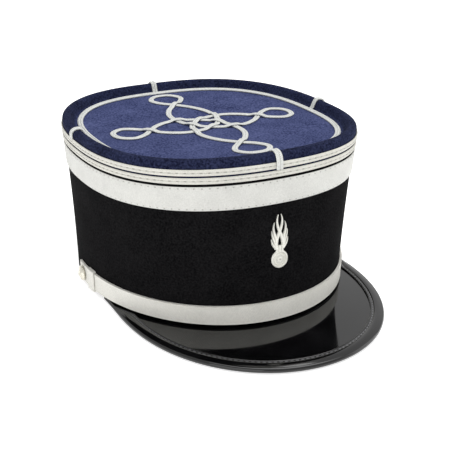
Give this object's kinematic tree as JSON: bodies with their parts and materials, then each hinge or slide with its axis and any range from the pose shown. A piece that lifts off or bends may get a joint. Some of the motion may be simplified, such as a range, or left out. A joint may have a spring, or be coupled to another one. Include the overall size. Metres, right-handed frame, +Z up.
{
  "type": "kepi cap",
  "caption": "Officer's kepi: stiff black cloth crown, sunken blue top with silver knot and galons, flaming-ball badge, braid chin strap and flat glossy black peak. Rests on its foot and peak.",
  "frame": {"origin": "middle of the outline on the floor the cap rests on", "axes": "+Z up, the peak points along -Y, +X is the wearer's left"},
  "size_m": [0.1902, 0.2618, 0.1146],
  "materials": {
    "black_cloth": "matte brushed wool cloth",
    "blue_cloth": "matte brushed wool cloth",
    "silver_galon": "woven metallic braid",
    "wide_galon": "woven metallic braid with stitched edges",
    "soutache": "ribbed metallic cord",
    "embroidery": "metallic thread embroidery",
    "strap_braid": "finely woven metallic braid",
    "button_metal": "polished",
    "patent_leather": "patent gloss"
  },
  "bodies": {
    "root": {"crown_side": "black_cloth", "crown_top": "blue_cloth", "galon_upper": "silver_galon", "galon_lower": "silver_galon", "galon_wide": "wide_galon", "ring_braid": "soutache", "knot_braid": "soutache", "rim_braid_front": "soutache", "rim_braid_back": "soutache", "rim_braid_left": "soutache", "rim_braid_right": "soutache", "badge": "embroidery", "chin_strap": "strap_braid", "strap_keeper_left": "strap_braid", "strap_keeper_right": "strap_braid", "button_left": "button_metal", "button_right": "button_metal", "peak": "patent_leather", "peak_binding": "patent_leather"}
  },
  "joints": []
}
